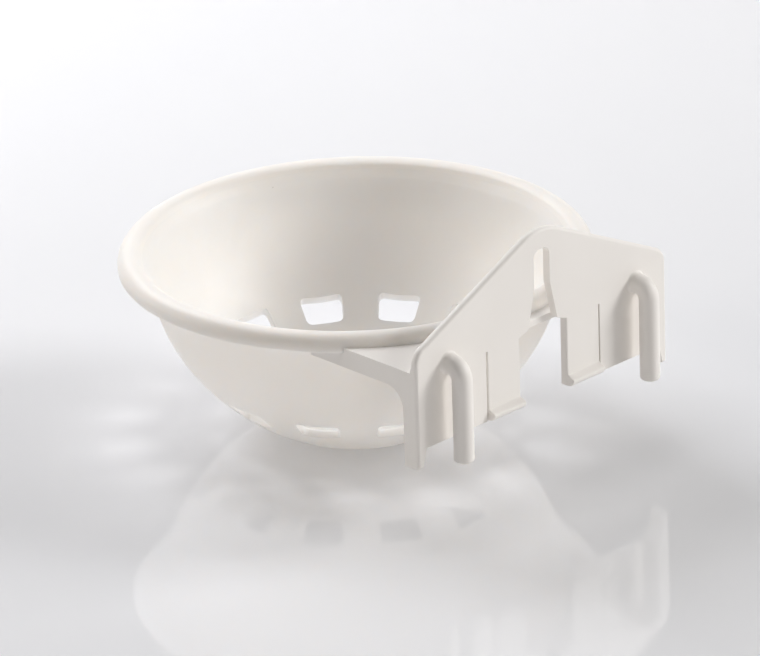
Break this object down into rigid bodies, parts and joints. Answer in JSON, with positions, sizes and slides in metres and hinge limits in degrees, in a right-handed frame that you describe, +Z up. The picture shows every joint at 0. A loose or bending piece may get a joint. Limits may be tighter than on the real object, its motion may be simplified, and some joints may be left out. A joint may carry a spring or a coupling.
{
  "type": "bird nest pan",
  "caption": "White moulded nest bowl with a rolled rim, vent slots round its lower wall and a gabled bracket whose hooks and spring tongues hang it on cage wires.",
  "frame": {"origin": "centre of the bowl's flat underside", "axes": "+Z up along the bowl's axis, +Y out of the bracket plate towards the cage wires, X across the plate"},
  "size_m": [0.11, 0.1217, 0.0646],
  "materials": {
    "white_plastic": "semi-gloss moulded polypropylene"
  },
  "bodies": {
    "pan": {"bowl": "white_plastic", "rim": "white_plastic", "shelf": "white_plastic", "hanger_plate": "white_plastic", "left_gusset": "white_plastic", "right_gusset": "white_plastic", "left_hook": "white_plastic", "right_hook": "white_plastic"},
    "left_tongue": {"left_spring_tongue": "white_plastic"},
    "right_tongue": {"right_spring_tongue": "white_plastic"}
  },
  "joints": [
    {"name": "left_tongue_flex", "type": "hinge", "parent": "pan", "child": "left_tongue", "pos_m": [0.0126, 0.0591, 0.04035], "axis": [-1, 0, 0], "range_deg": [-2, 8], "stiffness_Nm_per_rad": 0.25},
    {"name": "right_tongue_flex", "type": "hinge", "parent": "pan", "child": "right_tongue", "pos_m": [-0.0126, 0.0591, 0.04035], "axis": [-1, 0, 0], "range_deg": [-2, 8], "stiffness_Nm_per_rad": 0.25}
  ]
}
